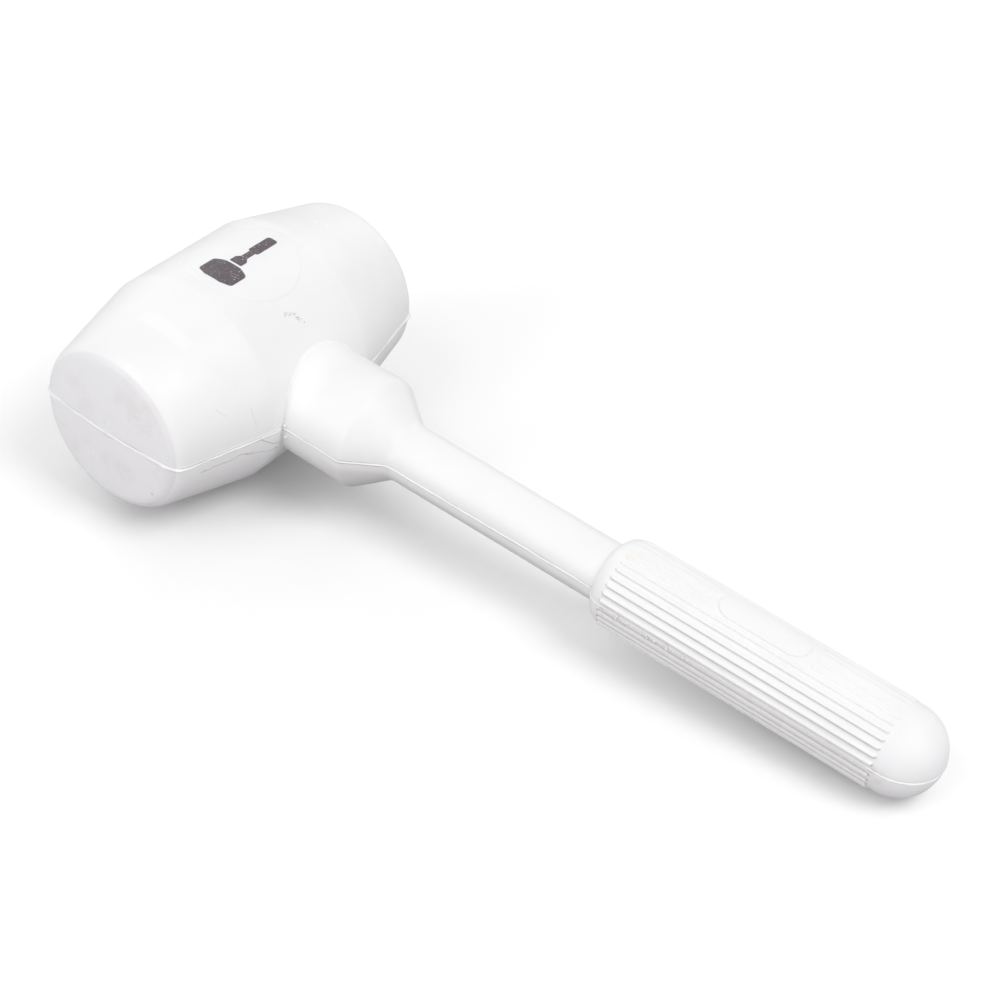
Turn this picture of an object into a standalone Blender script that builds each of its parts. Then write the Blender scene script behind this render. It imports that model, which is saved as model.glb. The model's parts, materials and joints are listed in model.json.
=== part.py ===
"""White rubber mallet moulded round a steel core, lying on its barrel head and on the butt of its grip.

Axes: +X runs along the head from face to face, the handle points to -Y and dips a little, +Z is up.
The origin is under the middle of the mallet, on the surface that it lies on. All lengths are in metres.
"""

import math

import bmesh
import bpy

# Head: a barrel with a straight band, two cones and two slightly crowned striking faces.
HEAD_R = 0.0380
BAND_HALF = 0.0235
CONE_END_X = 0.0604
CONE_END_R = 0.0291
RIM_R = 0.0046
CROWN = 0.0020
FACE_FLAT_R = 0.0100

# Handle sleeve: a thick neck, a cone and a slim shaft. Stations are distances from the head's axis.
NECK_R = 0.0197
NECK_END = 0.0614
NECK_END_R = 0.0200
NECK_CORNER_R = 0.0035
CONE_FOOT = 0.0743
CONE_FOOT_FILLET = 0.0070
SHAFT_R = 0.0102
SHAFT_END_R = 0.0100
SLEEVE_START = 0.0243
SLEEVE_END = 0.1640

# Grip: a quarter-round shoulder, a ribbed body and a domed butt.
GRIP_START = 0.1558
GRIP_SHOULDER = 0.0064
GRIP_R = 0.0150
GRIP_END_R = 0.01485
DOME_DEPTH = 0.0143
BUTT_END = 0.2758
TWIST = math.radians(-3.6)

# Ribs and the raised pad on the grip.
RIB_TIP_R = 0.01542
RIB_W = 0.0009
RIB_START = 0.1619
RIB_STOP = 0.2590
RIBS_PER_QUARTER = 8
RIB_FIRST = math.radians(5.5)
RIB_STEP = math.radians(10.75)
PAD_START = 0.1942
PAD_STOP = 0.2259
PAD_HALF_W = 0.0052
PAD_CLEAR = 0.0030

# Steel core: a tube with plugs, anchor washers, cross pins and a sleeve inside the neck.
GAP = 0.0003
TUBE_R = 0.00635
TUBE_BORE_R = 0.00475
TUBE_START = -0.0160
TUBE_STOP = 0.2620
PLUG_FLANGE = 0.0020
PLUG_DEPTH = 0.0080
WASHER_R = 0.0170
WASHER_T = 0.0030
WASHER_AT = 0.0100
HEAD_PIN_R = 0.0025
HEAD_PIN_HALF = 0.0220
GRIP_PIN_R = 0.0020
GRIP_PIN_HALF = 0.0110
GRIP_PIN_AT = 0.2400
FERRULE_R = 0.0085
FERRULE_START = 0.0160
FERRULE_STOP = 0.0700

# Printed emblem: a small mallet pictogram on top of the band.
EMBLEM_X = 0.0005
EMBLEM_HEAD_L = 0.0120
EMBLEM_HEAD_W = 0.0128
EMBLEM_HANDLE_L = 0.0190
EMBLEM_HANDLE_W = 0.0048
EMBLEM_T = 0.0004
EMBLEM_POCKET = 0.0007

HEAD_STEPS = 72
HANDLE_STEPS = 48
GRIP_STEPS = 64
CORE_STEPS = 36
FACE_STEPS = 5
RIM_STEPS = 5
FILLET_STEPS = 4
DOME_STEPS = 8
SHOULDER_STEPS = 6
PAD_END_STEPS = 8

# How far ribs and pad reach into the grip's body, and how far the uncut pad stands out of it.
RIB_ROOT = 0.0010
PAD_ROOT = 0.0020
PAD_UNCUT = 0.0020
# Half the height of the block that the emblem is cut from.
EMBLEM_BLOCK = HEAD_R / 4
MERGE = 0.00001

# The mallet rests on the barrel's band and on the last of the grip's ribs.
REST_SPAN = math.hypot(RIB_STOP, RIB_TIP_R)
TILT = math.asin(HEAD_R / REST_SPAN) - math.atan2(RIB_TIP_R, RIB_STOP)
HEAD_Y = (BUTT_END * math.cos(TILT) - HEAD_R) / 2


def clear_scene():
    for obj in list(bpy.data.objects):
        bpy.data.objects.remove(obj, do_unlink=True)


def collection(name):
    made = bpy.data.collections.new(name)
    bpy.context.scene.collection.children.link(made)
    return made


def material(name, colour, roughness, metallic):
    made = bpy.data.materials.new(name)
    made.use_nodes = True
    shader = made.node_tree.nodes["Principled BSDF"]
    shader.inputs["Base Color"].default_value = (*colour, 1.0)
    shader.inputs["Roughness"].default_value = roughness
    shader.inputs["Metallic"].default_value = metallic
    return made


def empty(name, parent=None, location=(0, 0, 0), rotation=(0, 0, 0)):
    made = bpy.data.objects.new(name, None)
    PARTS.objects.link(made)
    made.parent = parent
    made.location = location
    made.rotation_euler = rotation
    return made


def mesh_object(name, bm, parent, group):
    mesh = bpy.data.meshes.new(name)
    bm.to_mesh(mesh)
    bm.free()
    made = bpy.data.objects.new(name, mesh)
    group.objects.link(made)
    made.parent = parent
    return made


def turned(name, profile, steps, parent, group, closed=False):
    """A solid of revolution about the parent's Z axis from (radius, z) points, listed top to bottom."""
    bm = bmesh.new()
    verts = [bm.verts.new((radius, 0, z)) for radius, z in profile]
    for first, second in zip(verts, verts[1:]):
        bm.edges.new((first, second))
    if closed:
        bm.edges.new((verts[-1], verts[0]))
    made = mesh_object(name, bm, parent, group)
    screw = made.modifiers.new("turn", "SCREW")
    screw.axis = "Z"
    screw.angle = math.tau
    screw.steps = steps
    screw.render_steps = steps
    screw.use_merge_vertices = True
    screw.merge_threshold = MERGE
    return made


def solid_turned(name, outline, steps, parent, group):
    """A turned solid whose outline runs from its top to its bottom and is closed on the axis."""
    top = (0, outline[0][1])
    bottom = (0, outline[-1][1])
    return turned(name, [top, *outline, bottom], steps, parent, group)


def cutter(obj):
    obj.hide_render = True
    obj.display_type = "WIRE"
    return obj


def boolean(target, tool, operation):
    made = target.modifiers.new(operation.lower(), "BOOLEAN")
    made.operation = operation
    made.object = cutter(tool)
    made.solver = "EXACT"
    return target


def finished(obj, mat, crease_degrees=30):
    """Applies the modifiers, gives the material and shades the round faces smooth."""
    graph = bpy.context.evaluated_depsgraph_get()
    mesh = bpy.data.meshes.new_from_object(obj.evaluated_get(graph))
    obj.modifiers.clear()
    obj.data = mesh
    bm = bmesh.new()
    bm.from_mesh(mesh)
    bmesh.ops.remove_doubles(bm, verts=bm.verts, dist=MERGE)
    bm.to_mesh(mesh)
    bm.free()
    mesh.materials.clear()
    mesh.materials.append(mat)
    mesh.shade_smooth()
    mesh.set_sharp_from_angle(angle=math.radians(crease_degrees))
    return obj


def arc(centre, radius, start, stop, count):
    """Points (radius, z) on a circular arc, with angles measured from the radial direction towards +z."""
    angles = [start + (stop - start) * i / count for i in range(count + 1)]
    return [(centre[0] + radius * math.cos(a), centre[1] + radius * math.sin(a)) for a in angles]


# Head ---------------------------------------------------------------------------------------------

def head_half():
    """The head's outline from one striking face's flat to the band's edge."""
    slope = math.atan2(HEAD_R - CONE_END_R, CONE_END_X - BAND_HALF)
    rim_z = CONE_END_X - RIM_R
    rim_r = CONE_END_R + RIM_R * math.tan(slope) - RIM_R / math.cos(slope)
    points = []
    for i in range(FACE_STEPS):
        radius = FACE_FLAT_R + (rim_r - FACE_FLAT_R) * i / FACE_STEPS
        points.append((radius, CONE_END_X + CROWN * (1 - (radius / rim_r) ** 2)))
    points += arc((rim_r, rim_z), RIM_R, math.pi / 2, slope, RIM_STEPS)
    points.append((HEAD_R, BAND_HALF))
    return points


def core_cavity():
    """The stepped space for the core inside the head, from its open end at the neck to its blind end."""
    ferrule = FERRULE_R + GAP
    tube = TUBE_R + GAP
    washer = WASHER_R + GAP
    near = (WASHER_AT + WASHER_T + GAP, WASHER_AT - GAP)
    blind = TUBE_START - PLUG_FLANGE - 2 * GAP
    outline = [(NECK_R + GAP, HEAD_R + NECK_R), (NECK_R + GAP, SLEEVE_START - GAP)]
    outline += [(ferrule, SLEEVE_START - GAP), (ferrule, FERRULE_START - GAP), (tube, FERRULE_START - GAP)]
    outline += [(tube, near[0]), (washer, near[0]), (washer, near[1]), (tube, near[1])]
    outline += [(tube, -near[1]), (washer, -near[1]), (washer, -near[0]), (tube, -near[0])]
    outline += [(tube, blind)]
    return outline


def make_head(mat):
    half = head_half()
    profile = half + [(radius, -z) for radius, z in reversed(half)]
    head = solid_turned("head", profile, HEAD_STEPS, HEAD_AXIS, PARTS)
    cavity = solid_turned("core_cavity", core_cavity(), HANDLE_STEPS, HANDLE_AXIS, CUTTERS)
    boolean(head, cavity, "DIFFERENCE")
    pin_hole = round_bar("pin_hole", HEAD_PIN_R + GAP, HEAD_PIN_HALF + GAP, 0, CUTTERS)
    boolean(head, pin_hole, "DIFFERENCE")
    pocket = emblem_block("emblem_pocket", GAP, EMBLEM_POCKET, EMBLEM_POCKET, CUTTERS)
    boolean(head, pocket, "DIFFERENCE")
    return finished(head, mat)


# Emblem -------------------------------------------------------------------------------------------

def emblem_outline(grow):
    """A mallet pictogram, drawn along X: its head at -X and its handle towards +X."""
    left = EMBLEM_X - (EMBLEM_HEAD_L + EMBLEM_HANDLE_L) / 2 - grow
    neck = left + EMBLEM_HEAD_L + 2 * grow
    right = neck + EMBLEM_HANDLE_L
    wide = EMBLEM_HEAD_W / 2 + grow
    slim = EMBLEM_HANDLE_W / 2 + grow
    half = [(left, wide), (neck, wide), (neck, slim), (right, slim)]
    return half + [(x, -y) for x, y in reversed(half)]


def emblem_block(name, grow, below, above, group):
    """The pictogram as a curved plate, from below to above the barrel's surface."""
    curve = bpy.data.curves.new(name + "_outline", "CURVE")
    curve.dimensions = "2D"
    curve.fill_mode = "BOTH"
    curve.extrude = EMBLEM_BLOCK
    points = emblem_outline(grow)
    spline = curve.splines.new("POLY")
    spline.points.add(len(points) - 1)
    spline.use_cyclic_u = True
    for point, (x, y) in zip(spline.points, points):
        point.co = (x, y, 0, 1)
    drawn = bpy.data.objects.new(name + "_outline", curve)
    CUTTERS.objects.link(drawn)
    graph = bpy.context.evaluated_depsgraph_get()
    mesh = bpy.data.meshes.new_from_object(drawn.evaluated_get(graph))
    bpy.data.objects.remove(drawn, do_unlink=True)
    bm = bmesh.new()
    bm.from_mesh(mesh)
    bmesh.ops.remove_doubles(bm, verts=bm.verts, dist=MERGE)
    plate = mesh_object(name, bm, MALLET_AXIS, group)
    plate.location = (0, 0, HEAD_R)
    low = HEAD_R - below
    high = HEAD_R + above
    ring = [(high, BAND_HALF), (high, -BAND_HALF), (low, -BAND_HALF), (low, BAND_HALF)]
    shell = turned(name + "_shell", ring, 2 * HEAD_STEPS, HEAD_AXIS, CUTTERS, closed=True)
    return boolean(plate, shell, "INTERSECT")


def make_emblem(mat):
    emblem = emblem_block("emblem", 0, EMBLEM_T, 0, PARTS)
    return finished(emblem, mat)


# Handle sleeve ------------------------------------------------------------------------------------

def filleted(corner, before, after, radius):
    """An arc that rounds one corner of an outline, between the points before and after it."""
    def unit(point):
        dr = point[0] - corner[0]
        dz = point[1] - corner[1]
        size = math.hypot(dr, dz)
        return dr / size, dz / size

    first = unit(before)
    second = unit(after)
    half = math.acos(first[0] * second[0] + first[1] * second[1]) / 2
    middle = (first[0] + second[0], first[1] + second[1])
    size = math.hypot(*middle)
    reach = radius / math.sin(half)
    centre = (corner[0] + middle[0] / size * reach, corner[1] + middle[1] / size * reach)
    run = radius / math.tan(half)
    start = (corner[0] + first[0] * run, corner[1] + first[1] * run)
    stop = (corner[0] + second[0] * run, corner[1] + second[1] * run)
    begin = math.atan2(start[1] - centre[1], start[0] - centre[0])
    sweep = math.atan2(stop[1] - centre[1], stop[0] - centre[0]) - begin
    sweep = (sweep + math.pi) % math.tau - math.pi
    return arc(centre, radius, begin, begin + sweep, FILLET_STEPS)


def make_handle_sleeve(mat):
    """Listed from the far end at the grip back to the head, outside first and then the bore."""
    far = (SHAFT_END_R, SLEEVE_END)
    foot = (SHAFT_R, CONE_FOOT)
    neck = (NECK_END_R, NECK_END)
    near = (NECK_R, SLEEVE_START)
    profile = [far]
    profile += filleted(foot, far, neck, CONE_FOOT_FILLET)
    profile += filleted(neck, foot, near, NECK_CORNER_R)
    profile.append(near)
    wide = FERRULE_R + GAP
    slim = TUBE_R + GAP
    profile += [(wide, SLEEVE_START), (wide, FERRULE_STOP + GAP), (slim, FERRULE_STOP + GAP)]
    profile.append((slim, SLEEVE_END))
    sleeve = turned("handle_sleeve", profile, HANDLE_STEPS, HANDLE_AXIS, PARTS, closed=True)
    return finished(sleeve, mat)


# Grip ---------------------------------------------------------------------------------------------

def grip_profile():
    """The grip's outline from the butt's tip to its front, then the socket and the blind bore."""
    dome_start = BUTT_END - DOME_DEPTH
    points = [(0, BUTT_END)]
    for i in range(1, DOME_STEPS + 1):
        angle = math.pi / 2 * i / DOME_STEPS
        points.append((GRIP_END_R * math.sin(angle), dome_start + DOME_DEPTH * math.cos(angle)))
    shoulder = (GRIP_R - GRIP_SHOULDER, GRIP_START + GRIP_SHOULDER)
    points += arc(shoulder, GRIP_SHOULDER, 0, -math.pi / 2, SHOULDER_STEPS)[:-1]
    socket = SHAFT_R + GAP
    bore = TUBE_R + GAP
    points += [(socket, GRIP_START), (socket, SLEEVE_END + GAP), (bore, SLEEVE_END + GAP)]
    blind = TUBE_STOP + PLUG_FLANGE + 2 * GAP
    points += [(bore, blind), (0, blind)]
    return points


def rib_angles():
    """Ribs lie mirrored about the top, the bottom and the parting plane, and leave it a wider gap."""
    for base, side in ((90, 1), (90, -1), (270, 1), (270, -1)):
        for i in range(RIBS_PER_QUARTER):
            offset = RIB_FIRST + i * RIB_STEP
            yield math.radians(base) + side * offset, base == 90 and i < 2


def rib(bm, angle, start, stop):
    """One straight rib along the grip, sunk into its body."""
    depth = RIB_TIP_R - GRIP_R + RIB_ROOT
    made = bmesh.ops.create_cube(bm, size=1.0)["verts"]
    middle = RIB_TIP_R - depth / 2
    for vert in made:
        radial = middle + vert.co.x * depth
        across = vert.co.y * RIB_W
        along = (start + stop) / 2 + vert.co.z * (stop - start)
        x = radial * math.cos(angle) - across * math.sin(angle)
        y = radial * math.sin(angle) + across * math.cos(angle)
        vert.co = (x, y, along)


def make_ribs():
    bm = bmesh.new()
    for angle, crosses_pad in rib_angles():
        if crosses_pad:
            rib(bm, angle, RIB_START, PAD_START - PAD_CLEAR)
            rib(bm, angle, PAD_STOP + PAD_CLEAR, RIB_STOP)
        else:
            rib(bm, angle, RIB_START, RIB_STOP)
    return mesh_object("rib_set", bm, GRIP_AXIS, CUTTERS)


def make_pad():
    """A stadium standing on the grip's top, trimmed to the ribs' height."""
    bm = bmesh.new()
    ends = (PAD_START + PAD_HALF_W, PAD_STOP - PAD_HALF_W)
    outline = []
    for centre, turn in ((ends[1], 0), (ends[0], math.pi)):
        for i in range(PAD_END_STEPS + 1):
            angle = turn + math.pi * i / PAD_END_STEPS
            outline.append((PAD_HALF_W * math.cos(angle), centre + PAD_HALF_W * math.sin(angle)))
    low = [bm.verts.new((x, GRIP_R - PAD_ROOT, z)) for x, z in outline]
    face = bm.faces.new(low)
    raised = bmesh.ops.extrude_face_region(bm, geom=[face])["geom"]
    for vert in raised:
        if isinstance(vert, bmesh.types.BMVert):
            vert.co.y = GRIP_R + PAD_UNCUT
    bmesh.ops.recalc_face_normals(bm, faces=bm.faces)
    pad = mesh_object("pad_block", bm, GRIP_AXIS, CUTTERS)
    outline = [(RIB_TIP_R, PAD_STOP + PAD_CLEAR), (RIB_TIP_R, PAD_START - PAD_CLEAR)]
    limit = solid_turned("pad_limit", outline, GRIP_STEPS, GRIP_AXIS, CUTTERS)
    return boolean(pad, limit, "INTERSECT")


def make_grip(mat):
    grip = turned("grip", grip_profile(), GRIP_STEPS, GRIP_AXIS, PARTS)
    boolean(grip, make_ribs(), "UNION")
    boolean(grip, make_pad(), "UNION")
    pin_hole = round_bar("grip_pin_hole", GRIP_PIN_R + GAP, GRIP_PIN_HALF + GAP, GRIP_PIN_AT, CUTTERS)
    boolean(grip, pin_hole, "DIFFERENCE")
    return finished(grip, mat)


# Steel core ---------------------------------------------------------------------------------------

def round_bar(name, radius, half, station, group):
    """A bar across the handle, along the head's direction."""
    bar = solid_turned(name, [(radius, half), (radius, -half)], CORE_STEPS, HANDLE_AXIS, group)
    bar.location = (0, 0, station)
    bar.rotation_euler = (0, math.pi / 2, 0)
    return bar


def ring(name, inner, outer, start, stop):
    profile = [(outer, stop), (outer, start), (inner, start), (inner, stop)]
    return turned(name, profile, CORE_STEPS, HANDLE_AXIS, PARTS, closed=True)


def make_core_tube(mat):
    tube = ring("core_tube", TUBE_BORE_R, TUBE_R, TUBE_START, TUBE_STOP)
    for name, radius, half, station in (
        ("tube_head_hole", HEAD_PIN_R + GAP, 2 * TUBE_R, 0),
        ("tube_grip_hole", GRIP_PIN_R + GAP, 2 * TUBE_R, GRIP_PIN_AT),
    ):
        boolean(tube, round_bar(name, radius, half, station, CUTTERS), "DIFFERENCE")
    return finished(tube, mat)


def make_plug(name, end, outward, mat):
    """A flanged plug; outward is +1 at the butt's end of the tube and -1 at the head's end."""
    spigot = TUBE_BORE_R - GAP
    seat = end + outward * GAP
    cap = seat + outward * PLUG_FLANGE
    inside = end - outward * PLUG_DEPTH
    outline = [(TUBE_R, cap), (TUBE_R, seat), (spigot, seat), (spigot, inside)]
    if outward < 0:
        outline.reverse()
    plug = solid_turned(name, outline, CORE_STEPS, HANDLE_AXIS, PARTS)
    return finished(plug, mat)


def make_core(steel, plastic):
    make_core_tube(steel)
    make_plug("head_plug", TUBE_START, -1, plastic)
    make_plug("butt_plug", TUBE_STOP, 1, plastic)
    bore = TUBE_R + GAP
    for name, outer, start, stop in (
        ("anchor_washer_far", WASHER_R, -WASHER_AT - WASHER_T, -WASHER_AT),
        ("anchor_washer_near", WASHER_R, WASHER_AT, WASHER_AT + WASHER_T),
        ("neck_ferrule", FERRULE_R, FERRULE_START, FERRULE_STOP),
    ):
        finished(ring(name, bore, outer, start, stop), steel)
    head_pin = round_bar("anchor_pin", HEAD_PIN_R, HEAD_PIN_HALF, 0, PARTS)
    finished(head_pin, steel)
    grip_pin = round_bar("grip_pin", GRIP_PIN_R, GRIP_PIN_HALF, GRIP_PIN_AT, PARTS)
    finished(grip_pin, steel)


clear_scene()
PARTS = collection("rubber_mallet")
CUTTERS = collection("cutters")
MALLET_AXIS = empty("mallet_axis", None, (0, HEAD_Y, HEAD_R), (TILT, 0, 0))
HEAD_AXIS = empty("head_axis", MALLET_AXIS, (0, 0, 0), (0, math.pi / 2, 0))
HANDLE_AXIS = empty("handle_axis", MALLET_AXIS, (0, 0, 0), (math.pi / 2, 0, 0))
GRIP_AXIS = empty("grip_axis", HANDLE_AXIS, (0, 0, 0), (0, 0, TWIST))

RUBBER = material("white_rubber", (0.84, 0.83, 0.84), 0.55, 0.0)
STEEL = material("zinc_steel", (0.60, 0.61, 0.63), 0.35, 1.0)
PLASTIC = material("black_plastic", (0.03, 0.03, 0.03), 0.50, 0.0)
INK = material("printed_ink", (0.07, 0.06, 0.07), 0.60, 0.0)

make_head(RUBBER)
make_emblem(INK)
make_handle_sleeve(RUBBER)
make_grip(RUBBER)
make_core(STEEL, PLASTIC)
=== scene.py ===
"""Looks of the white rubber mallet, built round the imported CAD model.

The visible rubber is three skins: head, handle sleeve and grip. Each is an outline swept round its axis,
with relief for the mould's parting flash, ribs, pad and witness circle. The steel core keeps its CAD shape.
"""

import json
import math
import random

import bmesh
import bpy
import numpy as np
from mathutils import Matrix, Vector

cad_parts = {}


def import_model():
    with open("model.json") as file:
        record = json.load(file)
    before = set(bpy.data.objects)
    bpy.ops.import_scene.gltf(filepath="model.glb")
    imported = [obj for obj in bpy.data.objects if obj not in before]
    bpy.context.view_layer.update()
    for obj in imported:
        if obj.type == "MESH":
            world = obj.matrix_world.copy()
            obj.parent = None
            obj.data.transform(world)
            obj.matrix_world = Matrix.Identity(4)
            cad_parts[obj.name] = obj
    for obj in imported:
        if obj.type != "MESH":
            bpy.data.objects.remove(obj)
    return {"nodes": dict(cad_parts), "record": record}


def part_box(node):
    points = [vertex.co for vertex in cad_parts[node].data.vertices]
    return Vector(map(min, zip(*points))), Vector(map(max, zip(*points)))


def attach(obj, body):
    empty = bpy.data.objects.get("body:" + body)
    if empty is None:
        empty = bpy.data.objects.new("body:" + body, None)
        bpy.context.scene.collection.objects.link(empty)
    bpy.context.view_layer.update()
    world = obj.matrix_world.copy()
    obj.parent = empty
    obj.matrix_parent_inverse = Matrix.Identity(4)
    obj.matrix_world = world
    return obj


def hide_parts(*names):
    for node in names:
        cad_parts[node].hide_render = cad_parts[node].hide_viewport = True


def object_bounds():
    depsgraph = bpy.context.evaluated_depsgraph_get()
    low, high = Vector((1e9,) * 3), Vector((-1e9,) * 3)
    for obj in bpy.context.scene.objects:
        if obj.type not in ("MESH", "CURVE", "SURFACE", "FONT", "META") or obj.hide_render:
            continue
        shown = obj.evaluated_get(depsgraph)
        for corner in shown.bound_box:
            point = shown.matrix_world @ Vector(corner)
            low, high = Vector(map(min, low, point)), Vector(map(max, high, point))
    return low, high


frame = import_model()
CAD_LOW, CAD_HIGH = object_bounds()

MM = 0.001


def middle(node):
    low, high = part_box(node)
    return (low + high) / 2


# The frame's axes: the head's own axis, the handle's and the normal of the mould's parting plane.
HEAD_AT = middle("head")
HEAD_LOW, HEAD_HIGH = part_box("head")
HEAD_DIR = Vector((1, 0, 0))
HANDLE_DIR = (middle("grip_pin") - HEAD_AT).normalized()
PART_UP = HANDLE_DIR.cross(HEAD_DIR)

# What a skin is swept round: an origin, the directions at 0 and 90 degrees, and the axis itself.
HEAD_AXES = (HEAD_AT, -HANDLE_DIR, PART_UP, HEAD_DIR)
HANDLE_AXES = (HEAD_AT, HEAD_DIR, PART_UP, HANDLE_DIR)

# Head, with stations measured from its middle along its own axis.
HEAD_R = (HEAD_HIGH.z - HEAD_LOW.z) / 2
BAND_HALF = 23.5 * MM
CONE_END_X = 60.4 * MM
CONE_END_R = 29.1 * MM
NEAR_EDGE_R = 9.0 * MM
FAR_EDGE_R = 2.0 * MM
RIM_R = 6.2 * MM
CROWN = 1.9 * MM
FACE_MATT_R = 27.9 * MM
FACE_MATT_EDGE = 0.5 * MM
# Painted shade on the striking faces darkens them from this radius over this run towards the rim.
FACE_RIM_SHADE_R = 23.5 * MM
FACE_RIM_SHADE_RUN = 5 * MM

# Handle sleeve, with stations measured from the head's axis.
SLEEVE_START = 24.5 * MM
SLEEVE_END = 163.0 * MM
NECK_R = 19.6 * MM
NECK_END = 61.4 * MM
NECK_END_R = 20.0 * MM
NECK_CORNER_R = 2.4 * MM
CONE_FOOT = 74.3 * MM
CONE_FOOT_R = 6.0 * MM
SHAFT_R = 10.25 * MM
SHAFT_END_R = 10.05 * MM

# Grip.
GRIP_START = 155.8 * MM
SHOULDER_R = 6.4 * MM
GRIP_R = 15.0 * MM
GRIP_END_R = 14.85 * MM
DOME_DEPTH = 14.3 * MM
BUTT_END = 275.8 * MM
TWIST = math.radians(-3.6)
RIB_H_TOP = 0.17 * MM
RIB_H_SIDE = 0.66 * MM
RIB_HALF_W = 0.62 * MM
RIB_REACH = 2.3 * MM
EDGE_W = 0.20 * MM
PAD_H = 0.30 * MM
RIB_START = 161.9 * MM
RIB_STOP = 259.0 * MM
RIBS_PER_QUARTER = 8
RIB_FIRST = math.radians(5.5)
RIB_STEP = math.radians(10.75)
PAD_START = 194.2 * MM
PAD_STOP = 225.9 * MM
PAD_HALF_W = 5.2 * MM
PAD_CLEAR = 3.0 * MM

# Witness circle of the mould's insert on top of the band, and the emblem printed inside it.
DISC_R = 19.6 * MM
DISC_X = 0.6 * MM
DISC_RISE = 0.10 * MM
DISC_LINE_DEPTH = 0.07 * MM
DISC_LINE_W = 0.22 * MM
INK_LIFT = 0.05 * MM
EMBLEM_START = DISC_X - 15.2 * MM

# Parting flash: an uneven lip between two grooves, which lie some lip widths below and above it.
LIP_H = 0.26 * MM
LIP_W = 0.22 * MM
LIP_AT = 0.10 * MM
LIP_SWAY = 0.06 * MM
BELOW_LIP = 1.9
ABOVE_LIP = 2.7
GROOVE_DEPTH = 0.16 * MM
LOWER_GROOVE_W = 0.14 * MM
UPPER_GROOVE_W = 0.13 * MM
SOIL_SPREAD = 0.02 * MM
MOULD_STEP = 0.06 * MM
MOULD_STEP_RUN = 0.3 * MM
SECOND_LIP_AT = 1.15 * MM
SECOND_LIP_SWAY = 0.20 * MM
SECOND_LIP_W = 0.20 * MM
SECOND_LIP_SHARE = 0.60
WAVE_SIZE = 9 * MM
CHIP_SIZE = 2.2 * MM
PATCH_SIZE = 17 * MM

# The flash on the head is higher, most of all over the rims, and broader on the faces.
HEAD_LIP_H = 0.30 * MM
RIM_LIP_EXTRA = 0.30 * MM
RIM_LIP_X = 57.5 * MM
RIM_LIP_RUN = 3.5 * MM
FACE_LIP_EXTRA_W = 0.12 * MM

# Torn flash along the grip's ribs, and the broad faint painted shade under the parting line there.
TORN_H = 0.12 * MM
TORN_W = 0.4 * MM
TORN_SIZE = 0.9 * MM
PART_BAND_SHADE_SHARE = 0.15
PART_BAND_SHADE_AT = -0.6 * MM
PART_BAND_SHADE_W = 1.5 * MM

# Crumbs of torn flash beside the grip's parting line: first and last station, count and largest radius.
CRUMB_RUNS = ((162 * MM, 196 * MM, 26, 0.50 * MM), (196 * MM, 258 * MM, 34, 0.22 * MM))
CRUMB_LIFT = 0.30 * MM
BEAD_LIFT = 0.50 * MM


# Mesh tools ---------------------------------------------------------------------------------------

# Large odd factors that scramble a lattice point and a seed into a value that looks random.
AXIS_FACTORS = (374761393, 668265263, 2147483647)
SEED_FACTOR = 974711
MIX_FACTOR = 1274126177
BITS_32 = 0xFFFFFFFF
BITS_16 = 0xFFFF


def lattice_value(cells, seed):
    """A repeatable value in -1..1 for each whole-number lattice point."""
    mixed = seed * SEED_FACTOR
    for axis, factor in enumerate(AXIS_FACTORS):
        mixed = mixed + cells[..., axis] * factor
    mixed = (mixed ^ (mixed >> 13)) & BITS_32
    mixed = (mixed * MIX_FACTOR) & BITS_32
    mixed = (mixed ^ (mixed >> 16)) & BITS_16
    return 2 * mixed / BITS_16 - 1


def noise(points, size, seed):
    """Smooth value noise in -1..1 with features about size across."""
    scaled = points / size + 1000
    cells = np.floor(scaled).astype(np.int64)
    part = scaled - cells
    part = part * part * (3 - 2 * part)
    total = np.zeros(points.shape[:-1])
    for corner in np.ndindex(2, 2, 2):
        weight = np.ones(points.shape[:-1])
        for axis in range(3):
            weight = weight * (part[..., axis] if corner[axis] else 1 - part[..., axis])
        total += weight * lattice_value(cells + np.array(corner), seed)
    return total


def smoothstep(value):
    value = np.clip(value, 0, 1)
    return value * value * (3 - 2 * value)


# Steps of a mesh grow by this share of the distance from what needs fine steps.
STEP_GROWTH = 0.14


def graded(start, stop, step_at):
    """Positions from start to stop whose spacing follows step_at."""
    places = [start]
    while places[-1] < stop:
        places.append(places[-1] + step_at(places[-1]))
    places = np.array(places)
    return start + (places - start) * (stop - start) / (places[-1] - start)


def growing_step(away, fine_half, finest, coarsest):
    """A step that is finest up to the distance fine_half from a place and grows beyond it."""
    return min(finest + STEP_GROWTH * max(away - fine_half, 0), coarsest)


def arc_corner(before, corner, after, radius, count=8):
    """Points of an arc that rounds a corner of an outline of (radius, along) points."""
    corner = np.array(corner)
    first = np.array(before) - corner
    second = np.array(after) - corner
    first = first / np.linalg.norm(first)
    second = second / np.linalg.norm(second)
    half = math.acos(float(np.clip(first @ second, -1, 1))) / 2
    run = radius / math.tan(half)
    bisector = (first + second) / np.linalg.norm(first + second)
    centre = corner + bisector * radius / math.sin(half)
    start = corner + first * run - centre
    stop = corner + second * run - centre
    turn = math.pi - 2 * half
    points = []
    for i in range(count + 1):
        t = i / count
        weight_start = math.sin((1 - t) * turn) / math.sin(turn)
        weight_stop = math.sin(t * turn) / math.sin(turn)
        points.append(tuple(centre + start * weight_start + stop * weight_stop))
    return points


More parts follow.
